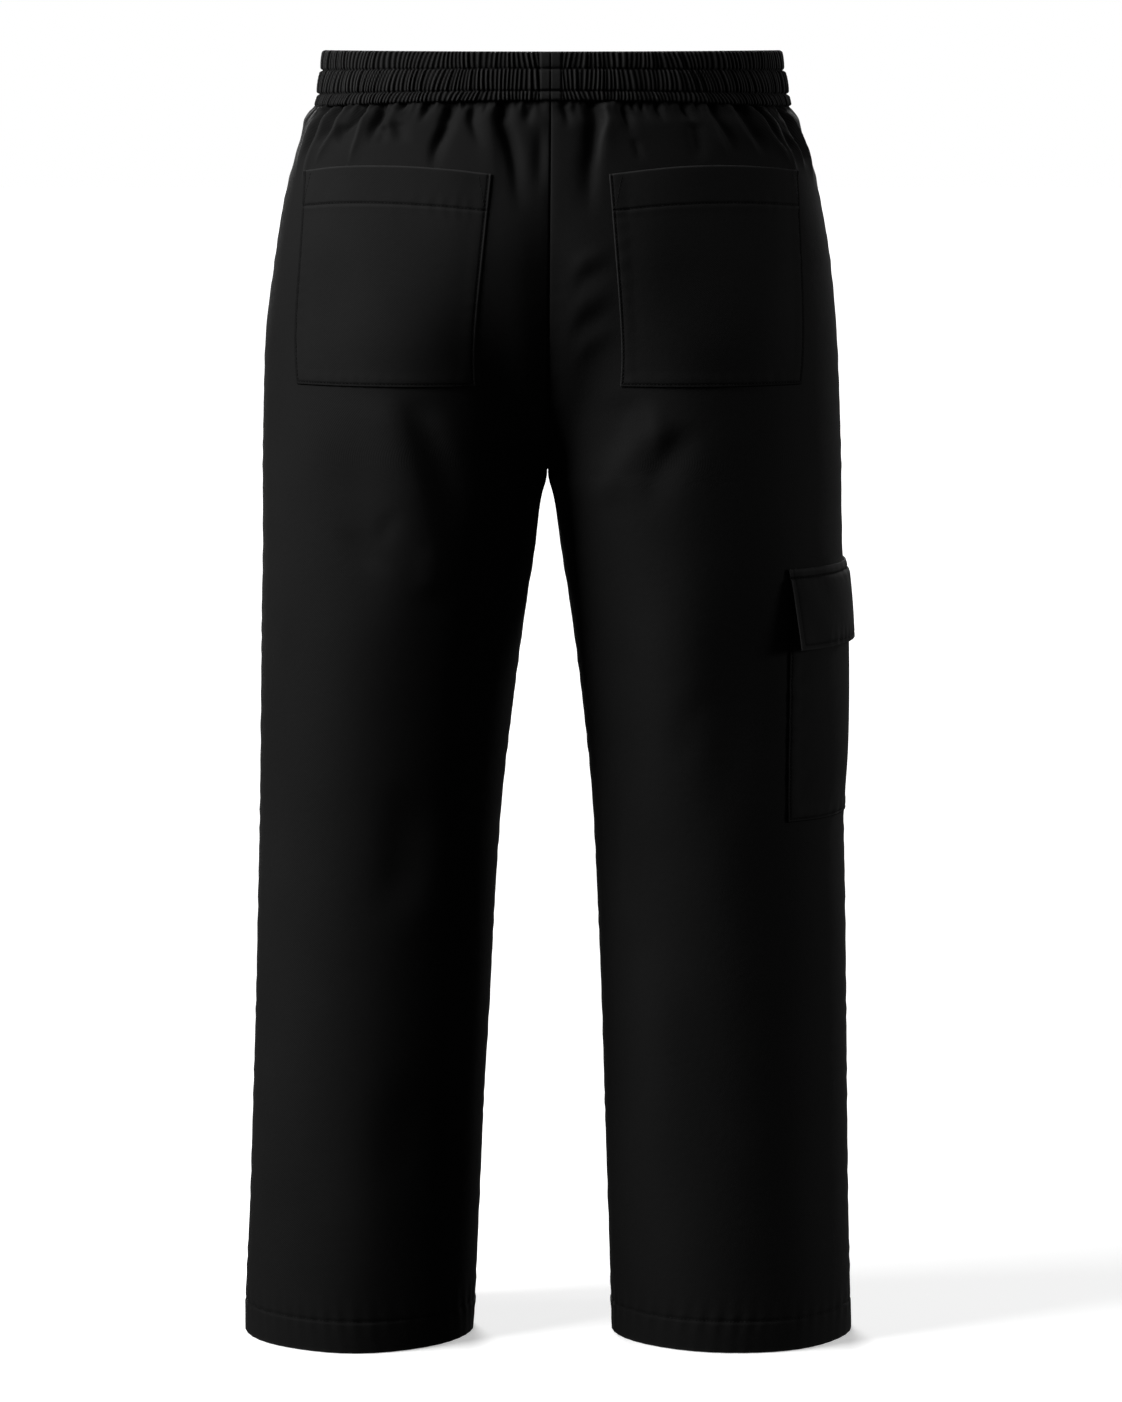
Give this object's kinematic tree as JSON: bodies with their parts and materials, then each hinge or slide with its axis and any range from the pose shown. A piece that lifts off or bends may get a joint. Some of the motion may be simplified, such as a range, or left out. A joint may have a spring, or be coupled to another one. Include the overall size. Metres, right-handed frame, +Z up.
{
  "type": "scrub trousers",
  "caption": "Black scrub trousers, filled out and hollow, with a shirred elastic waist, patch pockets on the seat and a flapped cargo pocket on the right leg.",
  "frame": {"origin": "centre of the waistband ring, half-way up the elastic at the side seams, where the wearer's waist holds the trousers", "axes": "+Z up, the garment's front faces -Y, the wearer's left is +X"},
  "size_m": [0.5084, 0.2899, 1.0649],
  "materials": {
    "twill": "matt black poly-cotton twill",
    "waistband": "matt black poly-cotton twill, shirred on elastic",
    "thread": "black polyester sewing thread"
  },
  "bodies": {
    "root": {"waistband": "waistband", "back_left": "twill", "back_right": "twill", "front_left": "twill", "front_right": "twill", "seat_pocket_left": "twill", "seat_pocket_right": "twill", "cargo_pocket": "twill", "cargo_flap": "twill"}
  },
  "joints": []
}
